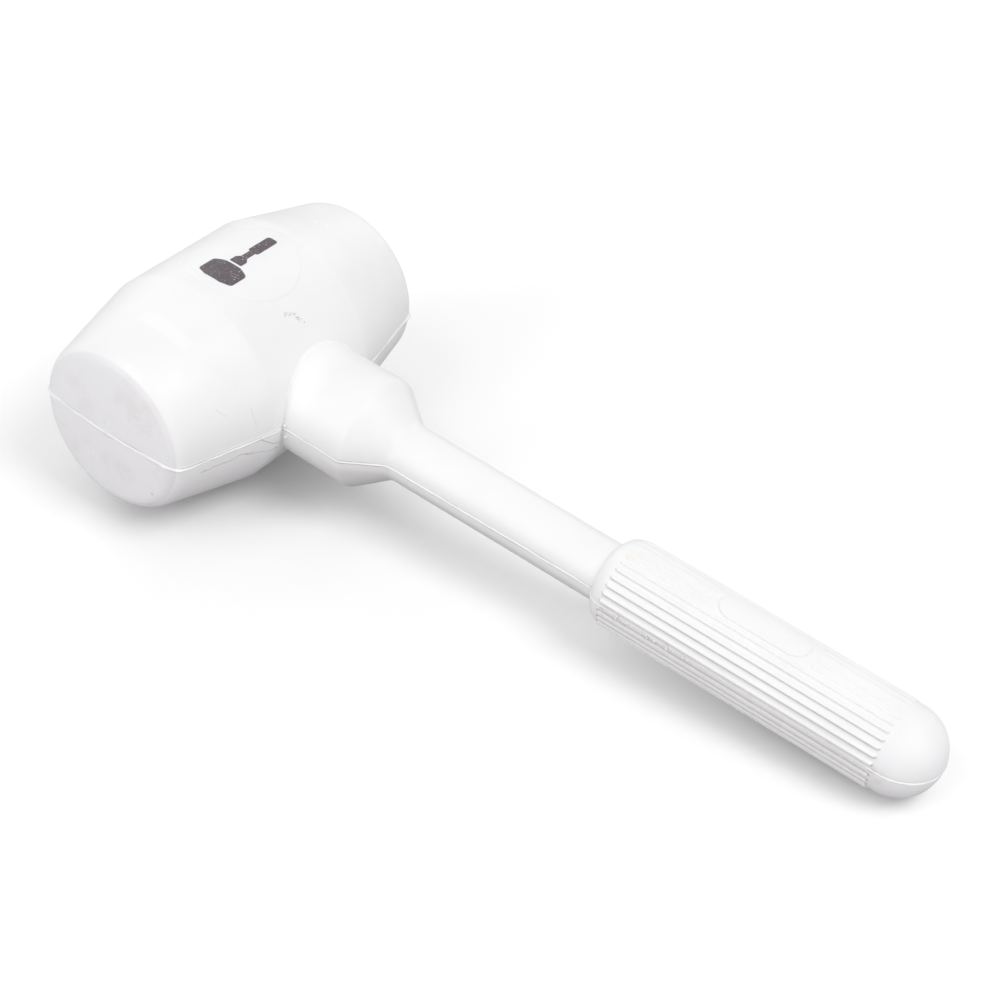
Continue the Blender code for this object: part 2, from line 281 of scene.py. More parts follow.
def sampled(outline, step_at):
    """An outline's points spaced by step_at(radius, along), and the outward normal at each."""
    outline = np.array(outline)
    runs = np.linalg.norm(np.diff(outline, axis=0), axis=1)
    length = np.concatenate([[0], np.cumsum(runs)])

    def place(distance):
        return np.interp(distance, length, outline[:, 0]), np.interp(distance, length, outline[:, 1])

    distances = graded(0, length[-1], lambda distance: step_at(*place(distance)))
    radius, along = place(distances)
    slope_r = np.gradient(radius, distances)
    slope_a = np.gradient(along, distances)
    size = np.hypot(slope_r, slope_a)
    normal = np.stack([slope_a / size, -slope_r / size], 1)
    if normal[len(normal) // 2, 0] < 0:
        normal = -normal
    return radius, along, normal


def vertex_field(mesh, field):
    """The co or the normal of every vertex, as rows of three."""
    values = np.empty(len(mesh.vertices) * 3)
    mesh.vertices.foreach_get(field, values)
    return values.reshape(-1, 3)


def placed(mesh):
    """The mesh as an object of the same name in the scene."""
    made = bpy.data.objects.new(mesh.name, mesh)
    bpy.context.scene.collection.objects.link(made)
    return made


# Round the poles of a skin, the relief evens out within this radius.
POLE_CALM_R = 1.5 * MM


def skin(name, outline, axes, relief, step_along, step_round):
    """A closed mesh swept round an axis.

    relief gives each point's height over the outline, its soiling with painted shade and how far it is worn
    matt. The last two become attributes.
    """
    radius, along, normal = sampled(outline, step_along)
    angles = graded(0, math.tau, step_round)[:-1]
    origin, side, top, forward = [np.array(v) for v in axes]
    ring_r = radius[:, None] + 0 * angles[None]
    ring_a = along[:, None] + 0 * angles[None]
    turn = 0 * radius[:, None] + angles[None]

    def world(r, a):
        spoke = np.cos(turn)[..., None] * side + np.sin(turn)[..., None] * top
        return origin + spoke * r[..., None] + a[..., None] * forward

    height, dirt_and_shade, matt = relief(ring_r, ring_a, turn, world(ring_r, ring_a))
    fade = smoothstep(radius / POLE_CALM_R)[:, None]
    height = height * fade + height.mean(1)[:, None] * (1 - fade)
    shifted_r = np.maximum(ring_r + normal[:, 0:1] * height, 0)
    points = world(shifted_r, ring_a + normal[:, 1:2] * height)
    rows, columns = turn.shape
    poles = [origin + forward * along[0], origin + forward * along[-1]]
    poles[0] = poles[0] + forward * (points[0] - poles[0]).dot(forward).mean()
    poles[1] = poles[1] + forward * (points[-1] - poles[1]).dot(forward).mean()
    verts = np.concatenate([points.reshape(-1, 3), np.array(poles)])
    index = np.arange(rows * columns).reshape(rows, columns)
    following = np.roll(index, -1, axis=1)
    quads = np.stack([index[:-1], following[:-1], following[1:], index[1:]], -1).reshape(-1, 4)
    first = np.stack([following[0], index[0], np.full(columns, rows * columns)], -1)
    last = np.stack([index[-1], following[-1], np.full(columns, rows * columns + 1)], -1)
    mesh = bpy.data.meshes.new(name)
    mesh.from_pydata(verts.tolist(), [], quads.tolist() + first.tolist() + last.tolist())
    for label, field in (("dirt_and_shade", dirt_and_shade), ("matt", matt)):
        at_poles = [field[0].mean(), field[-1].mean()]
        values = np.concatenate([field.ravel(), at_poles])
        mesh.attributes.new(label, "FLOAT", "POINT").data.foreach_set("value", values.astype(np.float32))
    mesh.shade_smooth()
    face_outwards(mesh)
    return placed(mesh)


def face_outwards(mesh):
    """Turns every face over if the closed mesh encloses a negative volume."""
    mesh.calc_loop_triangles()
    co = vertex_field(mesh, "co")
    tri = np.empty(len(mesh.loop_triangles) * 3, dtype=np.int32)
    mesh.loop_triangles.foreach_get("vertices", tri)
    a, b, c = co[tri.reshape(-1, 3)].transpose(1, 0, 2)
    outward = np.cross(b - a, c - a)
    if np.einsum("ij,ij->i", a - co.mean(0), outward).sum() < 0:
        mesh.flip_normals()


# Relief shared by the skins -----------------------------------------------------------------------

def ridge(offset, centre, width):
    return np.exp(-(((offset - centre) / width) ** 2))


def flash(offset, points, seed, height=LIP_H, width=LIP_W, double=0.0):
    """The height, and the soiling with painted shadow, of the parting flash.

    An uneven lip has a fine groove on each side, darkened by soiling and by painted shadow, and the mould's
    halves differ by a small step. double adds a faint second lip in patches, where the mould was worn.
    """
    wave = noise(points, WAVE_SIZE, seed)
    chips = noise(points, CHIP_SIZE, seed + 1)
    lip = height * (1 + 0.35 * wave + 0.40 * chips) * ridge(offset, LIP_AT + LIP_SWAY * wave, width)
    lower = -BELOW_LIP * width
    upper = ABOVE_LIP * width
    groove = GROOVE_DEPTH * (ridge(offset, lower, LOWER_GROOVE_W) + ridge(offset, upper, UPPER_GROOVE_W))
    step = MOULD_STEP * smoothstep(-offset / MOULD_STEP_RUN)
    patches = double * smoothstep(0.5 + 1.6 * noise(points, PATCH_SIZE, seed + 2))
    second = SECOND_LIP_SHARE * height * patches
    second = second * ridge(offset, SECOND_LIP_AT + SECOND_LIP_SWAY * wave, SECOND_LIP_W)
    # Soiling and painted shadow in the groove under the lip, and fainter in the groove above it.
    dirt_and_shade_below = np.clip(0.62 + 0.4 * wave + 0.3 * chips, 0.15, 1)
    dirt_and_shade_below = dirt_and_shade_below * ridge(offset, lower, LOWER_GROOVE_W + SOIL_SPREAD)
    dirt_and_shade_above = np.clip(0.16 - 0.9 * wave + 0.3 * chips, 0, 0.6)
    dirt_and_shade_above = dirt_and_shade_above * ridge(offset, upper, UPPER_GROOVE_W + SOIL_SPREAD)
    return lip + second - groove - step, np.clip(dirt_and_shade_below + dirt_and_shade_above, 0, 1)


def waviness(points, seed, size=26 * MM, height=0.05 * MM):
    return height * noise(points, size, seed) + 0.3 * height * noise(points, size / 3, seed + 1)


# Head ---------------------------------------------------------------------------------------------

def half_outline(edge_r):
    """From the pole of a striking face over its rim and cone to the band, whose edge is rounded by edge_r."""
    rim_corner = (CONE_END_R, CONE_END_X)
    band_corner = (HEAD_R, BAND_HALF)
    face = []
    steps = 24
    for i in range(steps):
        share = i / steps
        face.append((CONE_END_R * share, CONE_END_X + CROWN * (1 - share ** 2)))
    half = [point for point in face if point[0] < CONE_END_R - RIM_R]
    half += arc_corner(face[-2], rim_corner, band_corner, RIM_R, 10)
    return half + arc_corner(rim_corner, band_corner, (HEAD_R, 0), edge_r)


def head_outline():
    """From the pole of the +X face to the pole of the -X face."""
    near = [(radius, -along) for radius, along in reversed(half_outline(NEAR_EDGE_R))]
    return half_outline(FAR_EDGE_R) + near


def head_relief(radius, along, turn, points):
    """Height, soiling with painted shade, and matt rubbing of the head: its flash, its matt faces and the
    witness circle.
    """
    at_rim = ridge(np.abs(along), RIM_LIP_X, RIM_LIP_RUN) * (radius > 0.6 * HEAD_R)
    on_face = smoothstep(0.5 + (FACE_MATT_R - radius) / FACE_MATT_EDGE) * (np.abs(along) > CONE_END_X - RIM_R)
    offset = radius * np.sin(turn)
    lip_h = HEAD_LIP_H + RIM_LIP_EXTRA * at_rim
    lip_w = LIP_W + FACE_LIP_EXTRA_W * on_face
    height, grime_and_shade = flash(offset, points, 3, lip_h, lip_w, double=1.0)
    grime_and_shade = grime_and_shade * (1 - 0.5 * on_face * (offset < 0))

    across = (math.pi / 2 - turn) * HEAD_R
    outside = np.hypot(along - DISC_X, across) - DISC_R
    top_side = (np.sin(turn) > 0) & (radius > 0.8 * HEAD_R)
    faint = 0.65 + 0.35 * noise(points, 15 * MM, 13)
    line = ridge(outside, 0, DISC_LINE_W) * top_side * faint
    raised = smoothstep(-outside / (0.5 * MM)) * top_side
    height = height - DISC_LINE_DEPTH * line + DISC_RISE * raised + waviness(points, 11)

    off_lip = on_face * (1 - 0.85 * ridge(offset, LIP_AT, 0.40 * MM))
    # Painted shade: the face darkens towards its rounded rim, against the light the rim catches there.
    edge = smoothstep((radius - FACE_RIM_SHADE_R) / FACE_RIM_SHADE_RUN) * off_lip
    edge = edge * (0.11 + 0.05 * noise(points, 12 * MM, 17))
    # The witness circle's groove is darkened as painted shade.
    return height, np.clip(grime_and_shade + 0.12 * line + edge, 0, 1), off_lip


def make_head():
    coarse = 0.9 * MM
    fine = 0.3 * MM
    on_band = 0.32 * MM

    def step_along(radius, along):
        if radius < CONE_END_R:
            return coarse if radius < FACE_MATT_R - 2 * MM else fine
        return on_band if abs(along) < BAND_HALF else coarse

    def step_round(angle):
        to_part = min(abs(angle), abs(angle - math.pi), abs(angle - math.tau))
        on_disc = abs(angle - math.pi / 2) < math.radians(32)
        coarsest = math.radians(0.5 if on_disc else 2.2)
        return growing_step(to_part, math.radians(1.9), math.radians(0.2), coarsest)

    return skin("head_rubber", head_outline(), HEAD_AXES, head_relief, step_along, step_round)


# Handle sleeve ------------------------------------------------------------------------------------

def sleeve_outline():
    """From inside the head over the neck, the cone and the shaft to inside the grip."""
    neck = (NECK_END_R, NECK_END)
    foot = (SHAFT_R, CONE_FOOT)
    start = (NECK_R, SLEEVE_START)
    end = (SHAFT_END_R, SLEEVE_END)
    points = [(0, SLEEVE_START), start]
    points += arc_corner(start, neck, foot, NECK_CORNER_R)
    points += arc_corner(neck, foot, end, CONE_FOOT_R)
    return points + [end, (0, SLEEVE_END)]


def part_turn(along):
    """The parting line drifts by a few degrees from the neck to the grip."""
    return TWIST * smoothstep((along - NECK_END) / (SLEEVE_END - NECK_END))


def sleeve_relief(radius, along, turn, points):
    """Height, soiling with painted shade, and matt rubbing of the sleeve: painted shade darkens its underside
    and the crease at the grip.
    """
    offset = radius * np.sin(turn - part_turn(along))
    height, grime_and_shade = flash(offset, points, 21)
    # Painted shade in the crease where the shaft meets the grip.
    at_grip = np.clip(1 - (GRIP_START - along) / (0.8 * MM), 0, 1)
    outer = radius > 0.5 * SHAFT_R
    height = height * outer + waviness(points, 31, 18 * MM, 0.035 * MM)
    # Painted shade: darker under the parting line beyond the neck.
    beyond_neck = smoothstep((along - NECK_END + 14 * MM) / (18 * MM))
    underside = 0.22 * smoothstep((-offset - 2 * MM) / (2.5 * MM)) * beyond_neck
    dirt_and_shade = np.clip((grime_and_shade + underside) * outer + 0.25 * at_grip ** 2, 0, 1)
    return height, dirt_and_shade, np.zeros(turn.shape)


def make_sleeve():
    part_angles = np.array([0, math.pi, math.tau]) + TWIST / 2

    def step_along(radius, along):
        if radius < 0.95 * SHAFT_END_R:
            return 4 * MM
        return 0.5 * MM if along < CONE_FOOT + 8 * MM else 1.2 * MM

    def step_round(angle):
        to_part = np.abs(part_angles - angle).min()
        return growing_step(to_part, math.radians(3.2), math.radians(0.55), math.radians(3))

    return skin("handle_rubber", sleeve_outline(), HANDLE_AXES, sleeve_relief, step_along, step_round)


# Grip ---------------------------------------------------------------------------------------------

def grip_outline():
    """From the bore round the shaft over the shoulder and the body to the butt's pole."""
    dome_start = BUTT_END - DOME_DEPTH
    inner = SHAFT_END_R - 0.4 * MM
    points = [(0, GRIP_START + 2 * MM), (inner, GRIP_START + 2 * MM), (inner, GRIP_START + 0.25 * MM)]
    centre = (GRIP_R - SHOULDER_R, GRIP_START + SHOULDER_R)
    steps = 16
    for i in range(4, steps + 1):
        angle = math.pi / 2 * i / steps
        points.append((centre[0] + SHOULDER_R * math.sin(angle), centre[1] - SHOULDER_R * math.cos(angle)))
    steps = 24
    for i in range(steps + 1):
        angle = math.pi / 2 * i / steps
        points.append((GRIP_END_R * math.cos(angle), dome_start + DOME_DEPTH * math.sin(angle)))
    return points


def rib_list():
    """(angle, start, stop) of every rib; those that meet the pad stop short of it."""
    ribs = []
    for base, side in ((90, 1), (90, -1), (270, 1), (270, -1)):
        for i in range(RIBS_PER_QUARTER):
            angle = math.radians(base) + side * (RIB_FIRST + i * RIB_STEP) + TWIST
            if base == 90 and i < 2:
                ribs.append((angle, RIB_START, PAD_START - PAD_CLEAR))
                ribs.append((angle, PAD_STOP + PAD_CLEAR, RIB_STOP))
            else:
                ribs.append((angle, RIB_START, RIB_STOP))
    return ribs


def bar_distance(across, along, start, stop, half):
    """Distance outside a straight bar with round ends, negative inside it."""
    past = np.maximum(np.maximum(start + half - along, along - stop + half), 0)
    return np.hypot(across, past) - half


def turned_by(turn, angle):
    return (turn - angle + math.pi) % math.tau - math.pi


def rib_relief(across, along, turn, start, stop):
    """Height and painted shadow of one rib: its lower flank is steep, and it is higher on the grip's sides.
    """
    side = np.abs(np.cos(turn - TWIST))
    down = -np.sign(np.sin(2 * (turn - TWIST))) * across
    outside = bar_distance(across, along, start, stop, RIB_HALF_W)
    upper_flank = 0.2 + 0.8 * smoothstep((down + RIB_HALF_W) / (1.3 * RIB_HALF_W))
    full = RIB_H_TOP + (RIB_H_SIDE - RIB_H_TOP) * side ** 1.5
    height = full * upper_flank * smoothstep(0.5 - outside / EDGE_W)

    # Painted shadow: a dark line along the rib's lower side and a shaded gutter beside it, darker under the
    # parting line.
    lower_side = smoothstep(0.5 + down / (0.5 * MM))
    under = smoothstep(-6 * np.sin(turn - TWIST))
    spread = (0.12 + 0.12 * side ** 2) * MM
    line = (0.11 + 0.50 * smoothstep((side - 0.35) / 0.6)) * ridge(outside, 0.05 * MM + spread, spread)
    beside = smoothstep((1.6 * MM - outside) / (1.5 * MM)) * (outside > 0)
    gutter = (0.20 + 0.12 * under) * side ** 4 * beside
    return height, lower_side * np.maximum(line * (1 + 0.5 * under), gutter)


def grip_relief(radius, along, turn, points):
    """Height, soiling with painted shade, and matt rubbing of the grip: its ribs with painted shadow, its
    blank pad, its torn flash and its dome.
    """
    height = np.zeros(turn.shape)
    shade = np.zeros(turn.shape)
    body = radius > 0.8 * GRIP_END_R
    for angle, start, stop in RIBS:
        across = turned_by(turn, angle) * GRIP_R
        close = np.abs(across[0]) < RIB_REACH
        rib, rib_shade = rib_relief(across[:, close], along[:, close], turn[:, close], start, stop)
        height[:, close] = np.maximum(height[:, close], rib)
        shade[:, close] = np.maximum(shade[:, close], rib_shade)
    height *= 1 + 0.10 * noise(points, 14 * MM, 50)

    across = turned_by(turn, math.pi / 2 + TWIST) * GRIP_R
    outside = bar_distance(across, along, PAD_START, PAD_STOP, PAD_HALF_W)
    pad = smoothstep(0.5 - outside / EDGE_W)
    height = np.maximum(height, PAD_H * pad)
    # Painted shadow along the pad's lower edge.
    pad_edge_shade = 0.38 * ridge(outside, 0.16 * MM, 0.13 * MM) * smoothstep(0.5 + across / (6 * MM))
    shade = np.maximum(shade, pad_edge_shade)

    offset = radius * np.sin(turn - TWIST)
    lip, grime_and_shade = flash(offset, points, 41)
    ribbed = smoothstep((along - RIB_START) / (2 * MM)) * smoothstep((RIB_STOP - along) / (2 * MM)) * body
    ragged = noise(points, TORN_SIZE, 45)
    torn = TORN_H * np.maximum(ragged, -0.1) * ridge(offset, LIP_AT, TORN_W) * ribbed
    # Painted shade: a broad faint grey band under the parting line.
    part_band_shade = PART_BAND_SHADE_SHARE * ridge(offset, PART_BAND_SHADE_AT, PART_BAND_SHADE_W)
    height = height * body + lip + torn + waviness(points, 61, 15 * MM, 0.03 * MM)

    dome = smoothstep((along - RIB_STOP) / (3 * MM))
    clean = 1 - 0.75 * dome
    dirt_and_shade = shade * body + grime_and_shade * clean * (1 - 0.85 * ribbed) + part_band_shade * ribbed
    return height, np.clip(dirt_and_shade, 0, 1), np.maximum(0.30 * pad * body, 0.45 * dome)


def make_grip():
    coarse = 0.45 * MM
    at_pad_end = 0.25 * MM
    at_rib_end = 0.14 * MM
    in_bore = 1.5 * MM
    rib_ends = [RIB_START, RIB_STOP, PAD_START - PAD_CLEAR, PAD_STOP + PAD_CLEAR]
    rib_angles = np.array([angle for angle, _, _ in RIBS])
    pad_edges = math.pi / 2 + TWIST + np.array([-1, 1]) * PAD_HALF_W / GRIP_R

    def step_along(radius, along):
        if radius < 0.9 * SHAFT_END_R and along < GRIP_START + 3 * MM:
            return in_bore
        if min(abs(along - end) for end in rib_ends) < 0.9 * MM:
            return at_rib_end
        to_pad_end = min(abs(along - PAD_START), abs(along - PAD_STOP))
        on_pad = PAD_START - 0.5 * MM < along < PAD_STOP + 0.5 * MM
        return at_pad_end if on_pad and to_pad_end < 1.5 * PAD_HALF_W else coarse

    def step_round(angle):
        to_rib = np.abs(turned_by(rib_angles, angle)).min()
        to_part = abs(turned_by(np.array([TWIST, TWIST + math.pi]), angle)).min()
        to_pad = np.abs(turned_by(pad_edges, angle)).min()
        if to_rib < math.radians(3.6) or to_part < math.radians(3.5) or to_pad < math.radians(2.2):
            return math.radians(0.42)
        return math.radians(1.5)

    return skin("grip_rubber", grip_outline(), HANDLE_AXES, grip_relief, step_along, step_round)


# Crumbs of torn flash ------------------------------------------------------------------------------

def handle_point(along, degrees, radius):
    """A place round the handle's axis: 90 degrees is the top, 180 the side of the -X face."""
    turn = math.radians(degrees)
    return HEAD_AT + HANDLE_DIR * along + (HEAD_DIR * math.cos(turn) + PART_UP * math.sin(turn)) * radius


def crumb_places(dice):
    """(place, radius) of every crumb: two beads where neck and head meet, then the grip's crumbs."""
    places = [
        (handle_point(38.9 * MM, 175, NECK_R + BEAD_LIFT), 0.70 * MM),
        (handle_point(39.8 * MM, 187.5, NECK_R + BEAD_LIFT), 0.80 * MM),
    ]
    drift = math.degrees(TWIST)
    for side in (180 + drift, drift):
        for first, last, count, largest in CRUMB_RUNS:
            for _ in range(count):
                along = dice.uniform(first, last)
                radius = dice.uniform(0.4, 1.0) * largest
                place = handle_point(along, side + dice.gauss(0, 1.1), GRIP_R + CRUMB_LIFT)
                places.append((place, radius))
    return places


def make_crumbs():
    """Small lumps, each turned, flattened and roughened in its own way."""
    dice = random.Random(5)
    bm = bmesh.new()
    for place, radius in crumb_places(dice):
        made = bmesh.ops.create_icosphere(bm, subdivisions=2, radius=radius)["verts"]
        spin = Matrix.Rotation(dice.uniform(0, math.tau), 3, (dice.random(), dice.random(), 1))
        stretch = Vector((1, dice.uniform(0.6, 1.0), dice.uniform(0.6, 1.0)))
        for vert in made:
            vert.co = spin @ (vert.co * stretch) + place
    for face in bm.faces:
        face.smooth = True
    mesh = bpy.data.meshes.new("flash_crumbs")
    bm.to_mesh(mesh)
    bm.free()
    co = vertex_field(mesh, "co")
    co += vertex_field(mesh, "normal") * noise(co, 0.4 * MM, 77)[:, None] * 0.07 * MM
    mesh.vertices.foreach_set("co", co.ravel())
    mesh.update()
    return placed(mesh)


# Emblem -------------------------------------------------------------------------------------------

def rounded_bar(start, stop, half, corner):
    """(along, half-width) pairs of a bar with rounded corners, in mm."""
    points = []
    for i in range(5):
        angle = math.pi / 2 * i / 4
        points.append((start + corner * (1 - math.cos(angle)), half - corner * (1 - math.sin(angle))))
    return points + [(start + stop - along, width) for along, width in reversed(points)]


def emblem_islands():
    """Outlines of a small mallet pictogram: its head, then its handle with neck and grip."""
    barrel = [(0, 3.2), (0.3, 4.0), (1.2, 6.3), (1.7, 6.9), (2.4, 7.1)]
    barrel += [(10.4 - x, half) for x, half in reversed(barrel)]
    handle = rounded_bar(11.3, 15.4, 2.5, 0.5)[:5] + [(14.2, 2.5), (15.8, 1.25), (19.4, 1.25)]
    handle += rounded_bar(19.8, 30.4, 2.1, 1.0)
    return [[(EMBLEM_START + x * MM, half * MM) for x, half in island] for island in (barrel, handle)]


def printed_point(along, across):
    """The world point just above the rubber at a place on top of the band."""
    turn = np.full(1, math.pi / 2 - across / HEAD_R)
    spoke = -math.cos(turn[0]) * np.array(HANDLE_DIR) + math.sin(turn[0]) * np.array(PART_UP)
    base = np.array(HEAD_AT) + along * np.array(HEAD_DIR) + HEAD_R * spoke
    height, _, _ = head_relief(np.full(1, HEAD_R), np.full(1, along), turn, base[None])
    return base + spoke * (height[0] + INK_LIFT)


def make_emblem():
    """The print: a sheet just above the barrel that follows its curve, in strips across each outline."""
    verts = []
    faces = []
    columns = 17
    for island in emblem_islands():
        xs = np.array([x for x, _ in island])
        halves = np.array([half for _, half in island])
        places = np.unique(np.concatenate([xs, np.arange(xs[0], xs[-1], 0.4 * MM)]))
        start = len(verts)
        for x in places:
            half = np.interp(x, xs, halves)
            for i in range(columns):
                verts.append(printed_point(x, half * (2 * i / (columns - 1) - 1)))
        for row in range(len(places) - 1):
            for i in range(columns - 1):
                corner = start + row * columns + i
                faces.append((corner, corner + columns, corner + columns + 1, corner + 1))
    mesh = bpy.data.meshes.new("emblem_print")
    mesh.from_pydata([tuple(v) for v in verts], [], faces)
    mesh.update()
    if mesh.polygons[0].normal.dot(PART_UP) < 0:
        mesh.flip_normals()
    mesh.shade_smooth()
    return placed(mesh)


# Materials ----------------------------------------------------------------------------------------

# Tones of the rubber: clean, painted paler as light, and worn matt and partly painted shade.
RUBBER_CLEAN = (0.830, 0.830, 0.835)
RUBBER_CLOUDY = (0.810, 0.808, 0.813)
PAINTED_CREASE_LIGHT_TONE = (0.885, 0.885, 0.885)
RUBBER_WORN_AND_SHADED = (0.798, 0.790, 0.808)
RUBBER_WORN_AND_SHADED_FAIR = (0.824, 0.819, 0.832)
RUBBER_WARM = (0.760, 0.748, 0.742)
# Soiling and painted shade in its grooves, creases and undersides.
DIRT_SHADE_FAINT = (0.405, 0.388, 0.384)
DIRT_SHADE_STRONG = (0.320, 0.270, 0.235)

# Marks on the head and its near face, and a painted highlight streak.
PAINTED_HIGHLIGHT_STREAK = (0.875, 0.875, 0.880)
SMUDGE_PALE = (0.93, 0.93, 0.93)
SPECK_BROWN = (0.40, 0.34, 0.32)
FLOW_LINE_GREY = (0.34, 0.31, 0.29)
SCUFF_BLACK = (0.09, 0.08, 0.08)
FACE_CLOUD_BROWN = (0.690, 0.668, 0.640)
FACE_STROKE_PALE = (0.86, 0.86, 0.87)
FACE_SCRATCH_PALE = (0.90, 0.90, 0.90)
FACE_SPECK_BROWN = (0.50, 0.38, 0.27)

# Yellowed spots on the handle.
RIB_YELLOW = (0.83, 0.71, 0.58)
RIB_YELLOW_FAINT = (0.83, 0.73, 0.62)
DOME_BROWN = (0.60, 0.52, 0.46)
BEAD_YELLOW = (0.80, 0.68, 0.56)

# The other materials, each with a second tone for its patches.
INK_DARK = (0.095, 0.078, 0.092)
INK_FADED = (0.130, 0.108, 0.125)
INK_WORN = (0.60, 0.58, 0.60)
ZINC_BRIGHT = (0.60, 0.61, 0.63)
ZINC_DULL = (0.48, 0.49, 0.52)
PLASTIC_BLACK = (0.030, 0.030, 0.032)
PLASTIC_GREY = (0.050, 0.049, 0.050)
PAPER_WHITE = (0.96, 0.96, 0.96)
CARD_GREY = (0.42, 0.405, 0.415)


class Nodes:
    """A short way to build one material's node tree."""

    def __init__(self, name):
        self.material = bpy.data.materials.new(name)
        self.material.use_nodes = True
        self.tree = self.material.node_tree
        self.shader = self.tree.nodes["Principled BSDF"]
        self.place = self.tree.nodes.new("ShaderNodeTexCoord").outputs["Object"]

    def link(self, source, target):
        self.tree.links.new(source, target)

    def vector(self, operation, source, fixed=None):
        """A vector-math node on source, with fixed numbers as its second input."""
        node = self.tree.nodes.new("ShaderNodeVectorMath")
        node.operation = operation
        self.link(source, node.inputs[0])
        if fixed is not None:
            node.inputs[1].default_value = fixed
        return node

    def noise(self, scale, detail=3.0, roughness=0.55, stretch=None):
        """Noise in 0..1. stretch multiplies the coordinates, so a larger number gives shorter features."""
        node = self.tree.nodes.new("ShaderNodeTexNoise")
        node.inputs["Scale"].default_value = scale
        node.inputs["Detail"].default_value = detail
        node.inputs["Roughness"].default_value = roughness
        place = self.place
        if stretch is not None:
            place = self.vector("MULTIPLY", place, stretch).outputs["Vector"]
        self.link(place, node.inputs["Vector"])
        return node.outputs["Fac"]

    def cells(self, scale):
        node = self.tree.nodes.new("ShaderNodeTexVoronoi")
        node.inputs["Scale"].default_value = scale
        self.link(self.place, node.inputs["Vector"])
        return node

    def attribute(self, name):
        node = self.tree.nodes.new("ShaderNodeAttribute")
        node.attribute_name = name
        return node.outputs["Fac"]

    def remap(self, source, low, high, to_low=0.0, to_high=1.0):
        node = self.tree.nodes.new("ShaderNodeMapRange")
        node.interpolation_type = "SMOOTHSTEP"
        for key, value in (("From Min", low), ("From Max", high), ("To Min", to_low), ("To Max", to_high)):
            node.inputs[key].default_value = value
        self.link(source, node.inputs["Value"])
        return node.outputs["Result"]

    def math(self, operation, first, second):
        node = self.tree.nodes.new("ShaderNodeMath")
        node.operation = operation
        for socket, value in zip(node.inputs, (first, second)):
            if isinstance(value, (int, float)):
                socket.default_value = value
            else:
                self.link(value, socket)
        return node.outputs[0]

    def mix(self, factor, first, second):
        node = self.tree.nodes.new("ShaderNodeMix")
        node.data_type = "RGBA"
        self.link(factor, node.inputs["Factor"])
        for key, value in (("A", first), ("B", second)):
            socket = [s for s in node.inputs if s.name == key and s.type == "RGBA"][0]
            if isinstance(value, tuple):
                socket.default_value = (*value, 1)
            else:
                self.link(value, socket)
        return [s for s in node.outputs if s.type == "RGBA"][0]

    def bump(self, height, distance, strength=1.0, normal=None):
        node = self.tree.nodes.new("ShaderNodeBump")
        node.inputs["Distance"].default_value = distance
        node.inputs["Strength"].default_value = strength
        self.link(height, node.inputs["Height"])
        if normal is not None:
            self.link(normal, node.inputs["Normal"])
        return node.outputs["Normal"]

    def distance(self, point):
        return self.vector("DISTANCE", self.place, point).outputs["Value"]

    def near(self, point, reach, core=0.0):
        """1 within the distance core of a point, falling to 0 at the distance reach."""
        return self.remap(self.distance(point), reach, core)

    def along(self, direction, origin):
        """The signed distance from the plane through origin that is square to direction."""
        reached = self.vector("DOT_PRODUCT", self.place, direction).outputs["Value"]
        return self.math("SUBTRACT", reached, direction.dot(origin))

    def from_axis(self, origin, direction):
        """The distance from the line through origin along direction."""
        offset = self.vector("SUBTRACT", self.place, origin).outputs["Vector"]
        cross = self.vector("CROSS_PRODUCT", offset, direction).outputs["Vector"]
        return self.vector("LENGTH", cross).outputs["Value"]

    def hairline(self, start, stop, wander, width, out=None):
        """1 on a thin wandering line between two places on the barrel or on a surface with the normal out."""
        centre = (start + stop) / 2
        if out is None:
            out = centre - HEAD_AT
            out = out - HEAD_DIR * out.dot(HEAD_DIR)
        side = (stop - start).cross(out).normalized()
        drift = self.math("MULTIPLY", self.math("SUBTRACT", self.noise(170, 3), 0.5), wander)
        off_line = self.math("ABSOLUTE", self.math("ADD", self.along(side, start), drift), 0.0)
        reach = (stop - start).length / 2
        within_ends = self.near(centre, reach, 0.75 * reach)
        return self.math("MULTIPLY", self.remap(off_line, width, 0.4 * width), within_ends)

    def finish(self, colour, roughness, normal=None):
        self.link(colour, self.shader.inputs["Base Color"])
        self.link(roughness, self.shader.inputs["Roughness"])
        if normal is not None:
            self.link(normal, self.shader.inputs["Normal"])
        return self.material


def barrel_point(along, degrees):
    """A place on the barrel: along in mm from its middle, 90 degrees at the top, 180 on the handle's side."""
    taper = (HEAD_R - CONE_END_R) / (CONE_END_X - BAND_HALF)
    radius = HEAD_R - taper * max(abs(along) * MM - BAND_HALF, 0)
    turn = math.radians(degrees)
    spoke = PART_UP * math.sin(turn) - HANDLE_DIR * math.cos(turn)
    return HEAD_AT + HEAD_DIR * along * MM + spoke * radius


def face_point(across, up):
    """A place on the near striking face, in mm from its middle: away from the handle and up."""
    crown = CROWN * (1 - (math.hypot(across, up) * MM / CONE_END_R) ** 2)
    return HEAD_AT - HEAD_DIR * (CONE_END_X + crown) - HANDLE_DIR * across * MM + PART_UP * up * MM


def product(make, *masks):
    total = masks[0]
    for mask in masks[1:]:
        total = make.math("MULTIPLY", total, mask)
    return total


